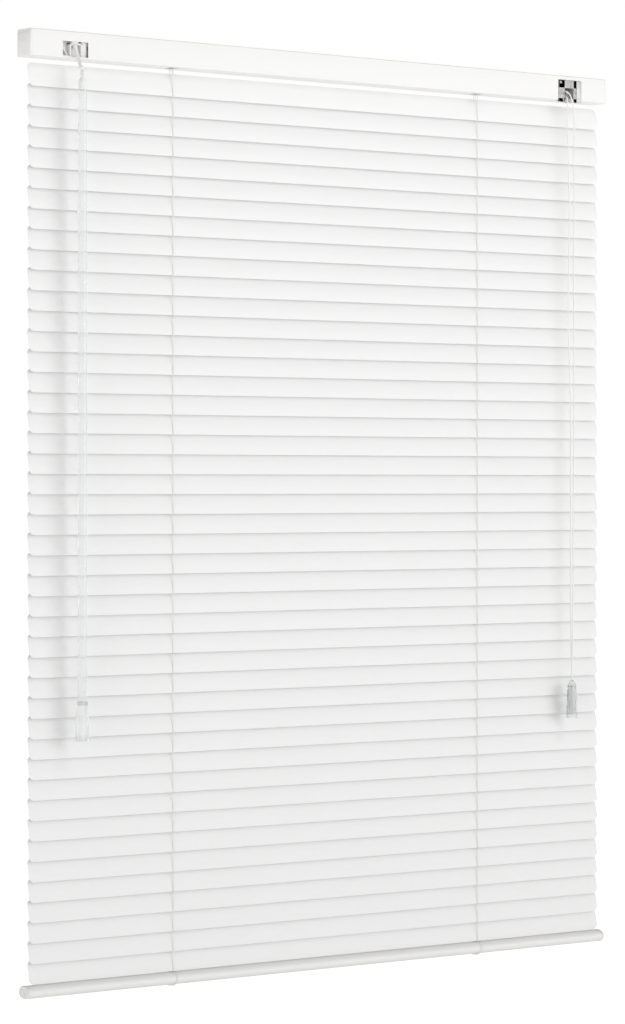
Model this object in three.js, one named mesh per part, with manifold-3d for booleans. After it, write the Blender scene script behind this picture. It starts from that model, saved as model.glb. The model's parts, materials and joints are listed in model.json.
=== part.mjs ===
// Venetian blind, fully lowered and closed, as separate pieces in one group.
// Millimetres. +X runs right as seen from the room, -Y points into the room, +Z is up.
// The origin is the middle of the head rail's back face, which goes against the wall.

import * as THREE from 'three';
import { mergeVertices } from 'three/addons/utils/BufferGeometryUtils.js';
import Module from 'manifold-3d';

const wasm = await Module();
wasm.setup();

// ---- driving dimensions ----

const BLIND_WIDTH = 800;

const RAIL_HEIGHT = 28.4;
const RAIL_DEPTH = 25;
const RAIL_WALL = 0.8;
const RAIL_LIP = 4.5;
const CAP_THICKNESS = 3;
const CAP_PLUG_LENGTH = 6;
const FIT_GAP = 0.3;
const JOIN_OVERLAP = 0.2;
const CUT_MARGIN = 1;

const SLAT_COUNT = 45;
const SLAT_PITCH = 21.1;
const SLAT_WIDTH = 25;
const SLAT_LENGTH = 790;
const SLAT_THICKNESS = 0.3;
const SLAT_CROWN = 1.3;
const SLAT_STRIPS = 4;
const SLAT_CORNER = 5.5;
const SLAT_CORNER_STEPS = 3;
const FIRST_SLAT_DROP = 46.2;
const CLOSED_TILT = THREE.MathUtils.degToRad(78);

const LADDER_X = 212;
const LADDER_RADIUS = 15.2;
const STRING_DIAMETER = 0.6;
const STRING_SPARE_END = 2.2;
const LADDER_HOLE_LENGTH = 10;
const LADDER_HOLE_DEPTH = 14;

const ROD_Z = -0.5;
const ROD_ACROSS = 5.4;
const ROD_LEFT = -364;
const ROD_RIGHT = 232;
const DRUM_RADIUS = 6.2;
const DRUM_WIDTH = 13;
const GEAR_RADIUS = 6.7;
const GEAR_WIDTH = 7;

const TILTER_X = -343.5;
const TILTER_WIDTH = 32;
const WINDOW_TOP = 3.6;
const WINDOW_BOTTOM = -12.1;
const HOUSING_TOP_DROP = 4;
const WORM_RADIUS = 2.5;
const WORM_START = -14;
const WORM_END = -3.5;
const STEM_RADIUS = 1.8;
const STEM_START = -5;
const STEM_BEAD_RADIUS = 2.6;
const TURNING_ROOM = 0.7;
const STEM_EXIT = new THREE.Vector3(TILTER_X, -25, -4);
const HOOK = new THREE.Vector3(TILTER_X, -37.5, -30.2);

const SLEEVE_DROP = 3.2;
const SLEEVE_LENGTH = 14;
const SLEEVE_SHOULDER = 9;
const SLEEVE_RADIUS = 4.2;
const SLEEVE_NECK_RADIUS = 2.2;
const WAND_LENGTH = 692;
const WAND_RADIUS = 4.5;
const GRIP_LENGTH = 41;
const GRIP_TOP_RADIUS = 5.6;
const GRIP_END_RADIUS = 7.4;

const LOCK_X = 343.8;
const LOCK_WIDTH = 35;
const LOCK_TOP = 2.8;
const LOCK_BOTTOM = -16;
const LOCK_PLATE = 1.9;
const LOCK_PROUD = 0.6;
const LOCK_SIDE_INSET = 3;
const LOCK_TOP_DROP = 5;
const LOCK_BACK_Y = -4;
const MOUTH_LEFT = LOCK_X - 8;
const MOUTH_RIGHT = LOCK_X + 5;
const MOUTH_BOTTOM = -11.5;
const MOUTH_TOP = 0;
const LOCK_NOTCH_DEPTH = 6;
const THROAT_FRONT_Y = -18;
const THROAT_BACK_Y = -11;

const CORD_DIAMETER = 1.6;
const CORD_STEPS_PER_POINT = 4;
const TASSEL_TOP = new THREE.Vector3(340.5, -32, -681);
const TASSEL_LENGTH = 43;
const TASSEL_RADIUS = 6.3;
const TASSEL_SHOULDER_RADIUS = 5.3;
const TASSEL_NECK_RADIUS = 1.8;
const TASSEL_NECK_LENGTH = 6;

const BOTTOM_RAIL_HEIGHT = 13.7;
const BOTTOM_RAIL_DEPTH = 20;
const BOTTOM_RAIL_WALL = 0.8;
const BOTTOM_RAIL_CAP = 3;
const KNOT_HOLE = 6;

// ---- derived places ----

const RAIL_TOP = RAIL_HEIGHT / 2;
const RAIL_FLOOR = -RAIL_HEIGHT / 2;
const MID_Y = -RAIL_DEPTH / 2;
const FRONT_Y = -RAIL_DEPTH;
const RAIL_HALF = BLIND_WIDTH / 2 - CAP_THICKNESS;
const FIRST_SLAT_Z = RAIL_TOP - FIRST_SLAT_DROP;
const LAST_SLAT_Z = FIRST_SLAT_Z - SLAT_PITCH * (SLAT_COUNT - 1);
const STRING_DY = LADDER_RADIUS * Math.cos(CLOSED_TILT);
const STRING_DZ = LADDER_RADIUS * Math.sin(CLOSED_TILT);
const SLAT_DROP = (SLAT_WIDTH + SLAT_THICKNESS) / 2 * Math.sin(CLOSED_TILT);
const BOTTOM_RAIL_TOP = LAST_SLAT_Z - SLAT_DROP - 2 * FIT_GAP;

// ---- solids ----

// Local X and Y of a flat outline become Y and Z, and its depth runs along X.
const ALONG_X = new THREE.Matrix4().makeBasis(
  new THREE.Vector3(0, 1, 0), new THREE.Vector3(0, 0, 1), new THREE.Vector3(1, 0, 0));

function solid(geometry) {
  const bare = geometry.clone();
  bare.deleteAttribute('normal');
  bare.deleteAttribute('uv');
  const merged = mergeVertices(bare, 1e-4);
  return new wasm.Manifold(new wasm.Mesh({
    numProp: 3,
    vertProperties: new Float32Array(merged.attributes.position.array),
    triVerts: new Uint32Array(merged.index.array),
  }));
}

function geometryOf(manifold) {
  const mesh = manifold.getMesh();
  const geometry = new THREE.BufferGeometry();
  geometry.setAttribute('position', new THREE.BufferAttribute(mesh.vertProperties, 3));
  geometry.setIndex(new THREE.BufferAttribute(mesh.triVerts, 1));
  return geometry;
}

function box(x0, x1, y0, y1, z0, z1) {
  const geometry = new THREE.BoxGeometry(x1 - x0, y1 - y0, z1 - z0);
  geometry.translate((x0 + x1) / 2, (y0 + y1) / 2, (z0 + z1) / 2);
  return solid(geometry);
}

function barAlongX(outline, x0, x1) {
  const settings = { depth: x1 - x0, bevelEnabled: false, curveSegments: 6 };
  const geometry = new THREE.ExtrudeGeometry(outline, settings);
  geometry.applyMatrix4(ALONG_X);
  geometry.translate(x0, 0, 0);
  return solid(geometry);
}

function plateAlongZ(outline, z0, z1, curveSegments) {
  const geometry = new THREE.ExtrudeGeometry(outline, { depth: z1 - z0, bevelEnabled: false, curveSegments });
  geometry.translate(0, 0, z0);
  return solid(geometry);
}

function polygon(points) {
  return new THREE.Shape(points.map(([a, b]) => new THREE.Vector2(a, b)));
}

function regularOutline(sides, radius, centreA = 0, centreB = 0) {
  const points = [];
  for (let side = 0; side < sides; side += 1) {
    const angle = (side + 0.5) * 2 * Math.PI / sides;
    points.push([centreA + radius * Math.cos(angle), centreB + radius * Math.sin(angle)]);
  }
  return polygon(points);
}

function roundBar(start, end, radius, sides) {
  const geometry = new THREE.CylinderGeometry(radius, radius, start.distanceTo(end), sides);
  const direction = end.clone().sub(start).normalize();
  const middle = start.clone().add(end).multiplyScalar(0.5);
  geometry.applyQuaternion(new THREE.Quaternion().setFromUnitVectors(new THREE.Vector3(0, 1, 0), direction));
  geometry.translate(middle.x, middle.y, middle.z);
  return solid(geometry);
}

// A tube along a curve: a flat-sided section pushed along it.
function tube(curve, diameter, sides, steps) {
  return solid(new THREE.ExtrudeGeometry(regularOutline(sides, diameter / 2), { extrudePath: curve, steps }));
}

// A smooth curve whose steps are as close together as the points that it passes through.
class RouteCurve extends THREE.CatmullRomCurve3 {
  getPointAt(t, target) {
    return this.getPoint(t, target);
  }

  getTangentAt(t, target) {
    return this.getTangent(t, target);
  }
}

// A turned solid about a vertical axis; the profile lists [radius, height] from the axis back to it.
function turned(profile, segments, x, y, z) {
  const geometry = new THREE.LatheGeometry(profile.map(([r, h]) => new THREE.Vector2(r, h)), segments);
  geometry.rotateX(Math.PI / 2);
  geometry.translate(x, y, z);
  return solid(geometry);
}

function joined(pieces) {
  return pieces.reduce((whole, piece) => whole.add(piece));
}

// ---- materials ----

function finish(color, roughness, metalness) {
  return { color, roughness, metalness };
}

const WHITE_ENAMEL = finish(0xf2f2ef, 0.38, 0);
const WHITE_PLASTIC = finish(0xeeeeec, 0.45, 0);
const CLEAR_PLASTIC = finish(0xe9eceb, 0.15, 0);
const GREY_STEEL = finish(0xb3b4b2, 0.35, 0.9);
const CORD_WHITE = finish(0xf5f4ef, 0.85, 0);

// ---- head rail ----

// U-shaped channel with its open side up and both top edges folded inwards.
function railOutline() {
  const inner = RAIL_WALL;
  return polygon([
    [0, RAIL_FLOOR], [0, RAIL_TOP], [-RAIL_LIP, RAIL_TOP], [-RAIL_LIP, RAIL_TOP - inner],
    [-inner, RAIL_TOP - inner], [-inner, RAIL_FLOOR + inner],
    [FRONT_Y + inner, RAIL_FLOOR + inner], [FRONT_Y + inner, RAIL_TOP - inner],
    [FRONT_Y + RAIL_LIP, RAIL_TOP - inner], [FRONT_Y + RAIL_LIP, RAIL_TOP],
    [FRONT_Y, RAIL_TOP], [FRONT_Y, RAIL_FLOOR],
  ]);
}

function tilterWindow() {
  const half = TILTER_WIDTH / 2;
  return box(TILTER_X - half, TILTER_X + half, FRONT_Y - CUT_MARGIN, FRONT_Y + 2 * CUT_MARGIN,
    WINDOW_BOTTOM, WINDOW_TOP);
}

function lockNotch() {
  const half = LOCK_WIDTH / 2 + FIT_GAP;
  return box(LOCK_X - half, LOCK_X + half, FRONT_Y - CUT_MARGIN, FRONT_Y + LOCK_NOTCH_DEPTH,
    RAIL_FLOOR - CUT_MARGIN, LOCK_TOP + FIT_GAP);
}

function ladderHole(x) {
  const half = LADDER_HOLE_LENGTH / 2;
  return box(x - half, x + half, MID_Y - LADDER_HOLE_DEPTH / 2, MID_Y + LADDER_HOLE_DEPTH / 2,
    RAIL_FLOOR - CUT_MARGIN, RAIL_FLOOR + 2 * CUT_MARGIN);
}

function headRail() {
  const channel = barAlongX(railOutline(), -RAIL_HALF, RAIL_HALF);
  const openings = joined([tilterWindow(), lockNotch(), ladderHole(-LADDER_X), ladderHole(LADDER_X)]);
  return channel.subtract(openings);
}

// End cap: a plate over the channel's end and a plug that goes into it. side is -1 or 1.
function railCap(side) {
  const end = side * BLIND_WIDTH / 2;
  const seat = side * (RAIL_HALF + FIT_GAP);
  const plugEnd = side * (RAIL_HALF - CAP_PLUG_LENGTH);
  const inset = RAIL_WALL + FIT_GAP;
  const plate = box(Math.min(seat, end), Math.max(seat, end), FRONT_Y, 0, RAIL_FLOOR, RAIL_TOP);
  const plug = box(Math.min(plugEnd, seat) - JOIN_OVERLAP, Math.max(plugEnd, seat) + JOIN_OVERLAP,
    FRONT_Y + inset, -inset, RAIL_FLOOR + inset, RAIL_TOP - inset);
  return plate.add(plug);
}

// ---- tilting gear ----

const STEM_DIRECTION = HOOK.clone().sub(STEM_EXIT).normalize();

function alongStem(distance) {
  return STEM_EXIT.clone().addScaledVector(STEM_DIRECTION, distance);
}

function rodPiece(sides, radius, x0, x1) {
  return barAlongX(regularOutline(sides, radius, MID_Y, ROD_Z), x0, x1);
}

// The hexagonal rod with the drum that each ladder hangs from, and the tilter's gear on its left end.
function tiltRod() {
  const halfDrum = DRUM_WIDTH / 2;
  const halfGear = GEAR_WIDTH / 2;
  return joined([
    rodPiece(6, ROD_ACROSS / 2, ROD_LEFT, ROD_RIGHT),
    rodPiece(16, DRUM_RADIUS, -LADDER_X - halfDrum, -LADDER_X + halfDrum),
    rodPiece(16, DRUM_RADIUS, LADDER_X - halfDrum, LADDER_X + halfDrum),
    rodPiece(16, GEAR_RADIUS, TILTER_X - halfGear, TILTER_X + halfGear),
  ]);
}

function tilterHousing() {
  const half = TILTER_WIDTH / 2 - FIT_GAP;
  const inset = RAIL_WALL + FIT_GAP;
  const body = box(TILTER_X - half, TILTER_X + half, FRONT_Y + inset, -inset,
    RAIL_FLOOR + inset, RAIL_TOP - HOUSING_TOP_DROP);
  const halfGear = GEAR_WIDTH / 2 + TURNING_ROOM;
  const gearRoom = rodPiece(16, GEAR_RADIUS + TURNING_ROOM, TILTER_X - halfGear, TILTER_X + halfGear);
  const rodBore = rodPiece(12, ROD_ACROSS / 2 + TURNING_ROOM,
    TILTER_X - TILTER_WIDTH, TILTER_X + TILTER_WIDTH);
  const wormBore = roundBar(alongStem(2 * WORM_START), alongStem(-WORM_END),
    WORM_RADIUS + TURNING_ROOM, 12);
  return body.subtract(joined([gearRoom, rodBore, wormBore]));
}

// The worm that drives the gear, its stem, and the bead that the wand hooks on to.
function tilterWorm() {
  const bead = new THREE.IcosahedronGeometry(STEM_BEAD_RADIUS, 1);
  bead.translate(HOOK.x, HOOK.y, HOOK.z);
  return joined([
    roundBar(alongStem(WORM_START), alongStem(WORM_END), WORM_RADIUS, 12),
    roundBar(alongStem(STEM_START), HOOK, STEM_RADIUS, 10),
    solid(bead),
  ]);
}

// The wand: a sleeve that hooks on to the stem, a six-sided rod, and a flared grip.
function tiltWand() {
  const top = HOOK.z - SLEEVE_DROP;
  const bottom = HOOK.z - WAND_LENGTH;
  const shaft = plateAlongZ(regularOutline(6, WAND_RADIUS, HOOK.x, HOOK.y),
    bottom + GRIP_LENGTH - JOIN_OVERLAP, top - SLEEVE_LENGTH + JOIN_OVERLAP, 1);
  const sleeve = turned([
    [0, 0], [SLEEVE_RADIUS, 0], [SLEEVE_RADIUS, SLEEVE_SHOULDER],
    [SLEEVE_NECK_RADIUS, SLEEVE_LENGTH], [0, SLEEVE_LENGTH],
  ], 16, HOOK.x, HOOK.y, top - SLEEVE_LENGTH);
  const grip = turned([[0, 0], [GRIP_END_RADIUS, 0], [GRIP_TOP_RADIUS, GRIP_LENGTH], [0, GRIP_LENGTH]],
    16, HOOK.x, HOOK.y, bottom);
  return joined([shaft, sleeve, grip]);
}

// ---- slats ----

// The curved strip that a slat is cut from: flat-chord section, high side up.
function slatSection() {
  const half = SLAT_WIDTH / 2;
  const upper = [];
  const lower = [];
  for (let strip = 0; strip <= SLAT_STRIPS; strip += 1) {
    const across = half - SLAT_WIDTH * strip / SLAT_STRIPS;
    const height = SLAT_CROWN * (1 - (across / half) ** 2);
    upper.push([across, height + SLAT_THICKNESS / 2]);
    lower.unshift([across, height - SLAT_THICKNESS / 2]);
  }
  return polygon([...upper, ...lower]);
}

// The slat seen from above, with round corners. Its long sides overshoot the strip that it cuts.
function slatOutline() {
  const x = SLAT_LENGTH / 2;
  const y = SLAT_WIDTH / 2 + CUT_MARGIN;
  const r = SLAT_CORNER;
  const corner = SLAT_WIDTH / 2 - r;
  const outline = new THREE.Shape();
  outline.moveTo(-x, -corner);
  outline.absarc(-x + r, -corner, r, Math.PI, 1.5 * Math.PI, false);
  outline.lineTo(-x + r, -y);
  outline.lineTo(x - r, -y);
  outline.absarc(x - r, -corner, r, 1.5 * Math.PI, 2 * Math.PI, false);
  outline.absarc(x - r, corner, r, 0, 0.5 * Math.PI, false);
  outline.lineTo(x - r, y);
  outline.lineTo(-x + r, y);
  outline.absarc(-x + r, corner, r, 0.5 * Math.PI, Math.PI, false);
  return outline;
}

function slat() {
  const half = SLAT_LENGTH / 2 + CUT_MARGIN;
  const strip = barAlongX(slatSection(), -half, half);
  return strip.intersect(plateAlongZ(slatOutline(), -CUT_MARGIN, SLAT_CROWN + CUT_MARGIN, SLAT_CORNER_STEPS));
}

// ---- ladders ----

// One upright string. Front strings hold the slats' lower edges and back strings the upper ones.
function ladderString(x, y, top, bottom) {
  const line = new THREE.LineCurve3(new THREE.Vector3(x, y, top), new THREE.Vector3(x, y, bottom));
  return tube(line, STRING_DIAMETER, 8, 1);
}

function frontString(x) {
  return ladderString(x, MID_Y - STRING_DY, FIRST_SLAT_Z - STRING_DZ + STRING_SPARE_END,
    BOTTOM_RAIL_TOP + 2 * FIT_GAP);
}

function backString(x) {
  return ladderString(x, MID_Y + STRING_DY, FIRST_SLAT_Z + STRING_DZ + STRING_SPARE_END,
    LAST_SLAT_Z + STRING_DZ + STRING_SPARE_END);
}

// ---- lifting gear ----

// A body inside the channel, and a plate that fills the notch in its front with a hole for the cords.
function cordLock() {
  const half = LOCK_WIDTH / 2;
  const inset = RAIL_WALL + FIT_GAP;
  const plateBack = FRONT_Y - LOCK_PROUD + LOCK_PLATE;
  const plate = box(LOCK_X - half, LOCK_X + half, FRONT_Y - LOCK_PROUD, plateBack, LOCK_BOTTOM, LOCK_TOP);
  const body = box(LOCK_X - half + LOCK_SIDE_INSET, LOCK_X + half - LOCK_SIDE_INSET,
    plateBack - JOIN_OVERLAP, LOCK_BACK_Y, RAIL_FLOOR + inset, RAIL_TOP - LOCK_TOP_DROP);
  const mouth = box(MOUTH_LEFT, MOUTH_RIGHT, FRONT_Y - 2 * CUT_MARGIN, THROAT_BACK_Y,
    MOUTH_BOTTOM, MOUTH_TOP);
  const throat = box(MOUTH_LEFT, MOUTH_RIGHT, THROAT_FRONT_Y, THROAT_BACK_Y, MOUTH_BOTTOM, RAIL_TOP);
  return plate.add(body).subtract(mouth).subtract(throat);
}

const UPPER_CORD_ROUTE = [
  [337.6, -20.5, -3.4], [337.6, -25, -3.6], [338.8, -28, -5.6], [341.2, -29.6, -10.5], [343.2, -30, -16.5],
  [345.2, -29.8, -24], [346.3, -29.6, -34], [346.4, -29.6, -76], [346.1, -29.7, -163], [345.3, -29.8, -207],
  [345.9, -30, -292], [345.7, -30.3, -376], [345.2, -30.5, -416], [343.8, -31, -485], [343.1, -31.5, -543],
  [342.4, -32, -600], [341.5, -32.2, -640],
];

const LOWER_CORD_ROUTE = [
  [337.2, -20.5, -9.6], [337.2, -25, -9.8], [336.8, -28, -11.6], [336.2, -29.3, -16.6], [335.8, -29.4, -28],
  [336.8, -29.4, -55], [338.6, -29.4, -117], [339, -29.4, -163], [337.9, -29.4, -215], [337.3, -29.4, -250],
  [338, -29.5, -292], [340.2, -29.6, -342], [341, -29.8, -393], [340.6, -30, -480], [340.4, -30.2, -543],
  [340.3, -30.5, -600], [340.4, -30.9, -640],
];

// Both cords' free ends, from the lock down to the knot where they meet in the tassel's neck.
function pullCords() {
  const knot = [TASSEL_TOP.x, TASSEL_TOP.y, TASSEL_TOP.z + FIT_GAP];
  const cords = [UPPER_CORD_ROUTE, LOWER_CORD_ROUTE].map((route) => {
    const points = [...route, knot].map(([x, y, z]) => new THREE.Vector3(x, y, z));
    return tube(new RouteCurve(points), CORD_DIAMETER, 8, CORD_STEPS_PER_POINT * route.length);
  });
  return joined(cords);
}

function cordTassel() {
  const bottom = TASSEL_TOP.z - TASSEL_LENGTH;
  return turned([
    [0, 0], [TASSEL_RADIUS, 0], [TASSEL_SHOULDER_RADIUS, TASSEL_LENGTH - TASSEL_NECK_LENGTH],
    [TASSEL_NECK_RADIUS, TASSEL_LENGTH], [0, TASSEL_LENGTH],
  ], 16, TASSEL_TOP.x, TASSEL_TOP.y, bottom);
}

// ---- bottom rail ----

function ovalOutline(depth, height) {
  const oval = new THREE.Shape();
  const middle = BOTTOM_RAIL_TOP - BOTTOM_RAIL_HEIGHT / 2;
  oval.absellipse(MID_Y, middle, depth / 2, height / 2, 0, 2 * Math.PI, false);
  return oval;
}

// An oval tube with closed ends, and holes above and below for the lift cords and their knots.
function bottomRail() {
  const half = BLIND_WIDTH / 2;
  const wall = 2 * BOTTOM_RAIL_WALL;
  const shell = barAlongX(ovalOutline(BOTTOM_RAIL_DEPTH, BOTTOM_RAIL_HEIGHT), -half, half);
  const hollow = barAlongX(ovalOutline(BOTTOM_RAIL_DEPTH - wall, BOTTOM_RAIL_HEIGHT - wall),
    -half + BOTTOM_RAIL_CAP, half - BOTTOM_RAIL_CAP);
  const below = BOTTOM_RAIL_TOP - BOTTOM_RAIL_HEIGHT - CUT_MARGIN;
  const halfHole = KNOT_HOLE / 2;
  const knotHoles = [-LADDER_X, LADDER_X].map((x) => box(x - halfHole, x + halfHole,
    MID_Y - halfHole, MID_Y + halfHole, below, BOTTOM_RAIL_TOP + CUT_MARGIN));
  return shell.subtract(joined([hollow, ...knotHoles]));
}

// ---- assembly ----

const blind = new THREE.Group();

function place(name, manifold, look) {
  const mesh = new THREE.Mesh(geometryOf(manifold), new THREE.MeshStandardMaterial(look));
  mesh.name = name;
  blind.add(mesh);
  return mesh;
}

place('head_rail', headRail(), WHITE_ENAMEL);
place('head_rail_cap_left', railCap(-1), WHITE_PLASTIC);
place('head_rail_cap_right', railCap(1), WHITE_PLASTIC);
place('tilt_rod', tiltRod(), GREY_STEEL);
place('tilter_housing', tilterHousing(), WHITE_PLASTIC);
place('tilter_worm', tilterWorm(), CLEAR_PLASTIC);
place('tilt_wand', tiltWand(), CLEAR_PLASTIC);

const slatSolid = slat();
for (let number = 1; number <= SLAT_COUNT; number += 1) {
  const piece = place(`slat_${String(number).padStart(2, '0')}`, slatSolid, WHITE_ENAMEL);
  piece.position.set(0, MID_Y, FIRST_SLAT_Z - SLAT_PITCH * (number - 1));
  piece.rotation.x = CLOSED_TILT;
}

place('ladder_left_front', frontString(-LADDER_X), CORD_WHITE);
place('ladder_right_front', frontString(LADDER_X), CORD_WHITE);
place('ladder_left_back', backString(-LADDER_X), CORD_WHITE);
place('ladder_right_back', backString(LADDER_X), CORD_WHITE);
place('cord_lock', cordLock(), GREY_STEEL);
place('pull_cords', pullCords(), CORD_WHITE);
place('cord_tassel', cordTassel(), CLEAR_PLASTIC);
place('bottom_rail', bottomRail(), WHITE_ENAMEL);

export default blind;
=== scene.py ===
"""A white venetian blind with narrow slats, lowered and closed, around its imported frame.

Shapes are drawn in millimetres and brought to metres when a piece is finished. +X runs right as
seen from the room, -Y points into the room and +Z is up.
"""

import json
import math
import random

import bmesh
import bpy
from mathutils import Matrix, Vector


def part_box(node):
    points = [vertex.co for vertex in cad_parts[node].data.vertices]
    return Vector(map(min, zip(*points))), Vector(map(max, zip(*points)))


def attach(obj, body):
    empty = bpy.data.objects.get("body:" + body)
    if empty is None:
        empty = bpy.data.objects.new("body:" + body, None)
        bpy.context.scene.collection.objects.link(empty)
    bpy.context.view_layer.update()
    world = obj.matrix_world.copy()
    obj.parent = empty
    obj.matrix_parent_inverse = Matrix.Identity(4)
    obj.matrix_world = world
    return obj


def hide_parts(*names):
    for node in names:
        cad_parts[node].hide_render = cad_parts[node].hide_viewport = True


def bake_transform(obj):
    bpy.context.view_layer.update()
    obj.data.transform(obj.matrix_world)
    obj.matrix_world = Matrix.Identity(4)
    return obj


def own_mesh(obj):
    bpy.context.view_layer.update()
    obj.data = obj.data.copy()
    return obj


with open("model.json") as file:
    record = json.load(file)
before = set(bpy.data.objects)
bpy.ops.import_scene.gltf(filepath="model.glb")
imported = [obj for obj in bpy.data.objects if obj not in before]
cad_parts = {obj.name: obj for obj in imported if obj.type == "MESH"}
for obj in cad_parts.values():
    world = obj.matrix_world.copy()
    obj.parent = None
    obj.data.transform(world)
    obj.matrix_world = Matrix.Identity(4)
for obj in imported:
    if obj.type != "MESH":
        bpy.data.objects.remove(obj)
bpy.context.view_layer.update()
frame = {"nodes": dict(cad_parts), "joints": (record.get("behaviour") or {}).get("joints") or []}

MM = 0.001


# ---- places taken from the frame, in millimetres ----


def box_mm(node):
    """A CAD node's lowest and highest corners."""
    low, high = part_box(node)
    return low / MM, high / MM


JOINTS = {joint["name"]: joint for joint in frame["joints"]}


def pivot_mm(joint):
    """The point that a joint turns about."""
    return Vector(JOINTS[joint]["pos_m"]) / MM


SLATS = sorted(node for node in frame["nodes"] if node.startswith("slat_"))
LAST_SLAT = SLATS[-1]

rail_low, rail_high = box_mm("head_rail")
RAIL_TOP, RAIL_FLOOR = rail_high.z, rail_low.z
FRONT, MID = rail_low.y, (rail_low.y + rail_high.y) / 2
RAIL_END = rail_high.x
RAIL_BED = RAIL_FLOOR + 1.1
BLIND_END = box_mm("head_rail_cap_right")[1].x

FRONT_STRING = pivot_mm("front_strings_swing")
BACK_STRING = pivot_mm("back_strings_swing")
LADDER_X = sum(corner.x for corner in box_mm("ladder_right_front")) / 2
SLAT_TILT = math.atan2(BACK_STRING.z - FRONT_STRING.z, BACK_STRING.y - FRONT_STRING.y)
STRING_REACH = (BACK_STRING - FRONT_STRING).length / 2
FIRST_SLAT_Z = pivot_mm(f"{SLATS[0]}_tilt").z
LAST_SLAT_Z = pivot_mm(f"{LAST_SLAT}_tilt").z
SLAT_DROP_TO_STRING = FIRST_SLAT_Z - FRONT_STRING.z
SLAT_END = box_mm(SLATS[0])[1].x

base_low, base_high = box_mm("bottom_rail")
BASE_MID_Z = (base_low.z + base_high.z) / 2
BASE_HALF_DEPTH = (base_high.y - base_low.y) / 2
BASE_HALF_HEIGHT = (base_high.z - base_low.z) / 2

HOOK = pivot_mm("wand_turn")
STEM_EXIT = pivot_mm("worm_turn")
ROD = pivot_mm("rod_turn")
TASSEL = box_mm("cord_tassel")
LOCK_LOW, LOCK_HIGH = box_mm("cord_lock")
LIFT = max(JOINTS["blind_lift"]["range_m"]) / MM

# ---- sizes of the pieces, in millimetres ----

SLAT_WIDTH = 25.0
SLAT_CROWN = 1.3
SLAT_THICKNESS = 0.3
SLAT_CORNER = 6.3
STRING_THICKNESS = 0.85
RUNG_THICKNESS = 0.55
CORD_THICKNESS = 1.6
CORD_STEPS = 12
RAIL_WALL = 0.8
RAIL_LIP = 4.5

# The tilter's window in the rail's face.
WINDOW_LEFT, WINDOW_RIGHT = STEM_EXIT.x - 16, STEM_EXIT.x + 16
WINDOW_FOOT, WINDOW_HEAD = -12.1, 3.6

# The mouth in the lock's plate.
LOCK_MIDDLE = (LOCK_LOW.x + LOCK_HIGH.x) / 2
MOUTH_LEFT, MOUTH_RIGHT = LOCK_MIDDLE - 8, LOCK_MIDDLE + 5
MOUTH_FOOT, MOUTH_HEAD = -11.5, 0.0

# The two pull cords, from inside the lock down to the knot in the tassel.
KNOT = (340.5, -32, -680.7)
UPPER_CORD = [
    (337.6, -20.5, -3.4), (337.6, -25, -3.6), (338.8, -28, -5.6), (341.2, -29.6, -10.5),
    (343.2, -30, -16.5), (345.2, -29.8, -24), (346.3, -29.6, -34), (346.4, -29.6, -76),
    (346.1, -29.7, -163), (345.3, -29.8, -207), (345.9, -30, -292), (345.7, -30.3, -376),
    (345.2, -30.5, -416), (343.8, -31, -485), (343.1, -31.5, -543), (342.4, -32, -600),
    (341.5, -32.2, -640), KNOT,
]
LOWER_CORD = [
    (337.2, -20.5, -9.6), (337.2, -25, -9.8), (336.8, -28, -11.6), (336.2, -29.3, -16.6),
    (335.8, -29.4, -28), (336.8, -29.4, -55), (338.6, -29.4, -117), (339, -29.4, -163),
    (337.9, -29.4, -215), (337.3, -29.4, -250), (338, -29.5, -292), (340.2, -29.6, -342),
    (341, -29.8, -393), (340.6, -30, -480), (340.4, -30.2, -543), (340.3, -30.5, -600),
    (340.4, -30.9, -640), KNOT,
]


# ---- node trees ----


class Value:
    """One socket's value. Sums, products and the like on it add Math nodes."""

    def __init__(self, graph, socket):
        self.graph, self.socket = graph, socket

    def maths(self, operation, first, second=0.0):
        """A Math node on any two of sockets and numbers."""
        return self.graph.node("ShaderNodeMath", {"operation": operation}, {0: first, 1: second})

    def __add__(self, other):
        return self.maths("ADD", self, other)

    def __radd__(self, other):
        return self.maths("ADD", other, self)

    def __sub__(self, other):
        return self.maths("SUBTRACT", self, other)

    def __rsub__(self, other):
        return self.maths("SUBTRACT", other, self)

    def __mul__(self, other):
        return self.maths("MULTIPLY", self, other)

    def __truediv__(self, other):
        return self.maths("DIVIDE", self, other)

    def call(self, operation, other=0.0):
        """Any other one- or two-valued operation of the Math node."""
        return self.maths(operation, self, other)

    def part(self, output):
        """Another output of the same node."""
        return Value(self.graph, self.socket.node.outputs[output])


class Graph:
    """A node tree, and the one way in which nodes are added to it."""

    def __init__(self, tree):
        self.tree = tree

    def node(self, kind, settings=None, sockets=None, output=0):
        """Adds a node. A socket takes a number, a Value, or a list of Values where it joins them."""
        made = self.tree.nodes.new(kind)
        for name, value in (settings or {}).items():
            if name == "stops":
                for element, (place, colour) in zip(made.color_ramp.elements, value):
                    element.position, element.color = place, colour
            else:
                setattr(made, name, value)
        for name, value in (sockets or {}).items():
            if isinstance(value, (Value, list)):
                for source in [value] if isinstance(value, Value) else value:
                    self.tree.links.new(source.socket, made.inputs[name])
            else:
                made.inputs[name].default_value = value
        return Value(self, made.outputs[output]) if made.outputs else None


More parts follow.
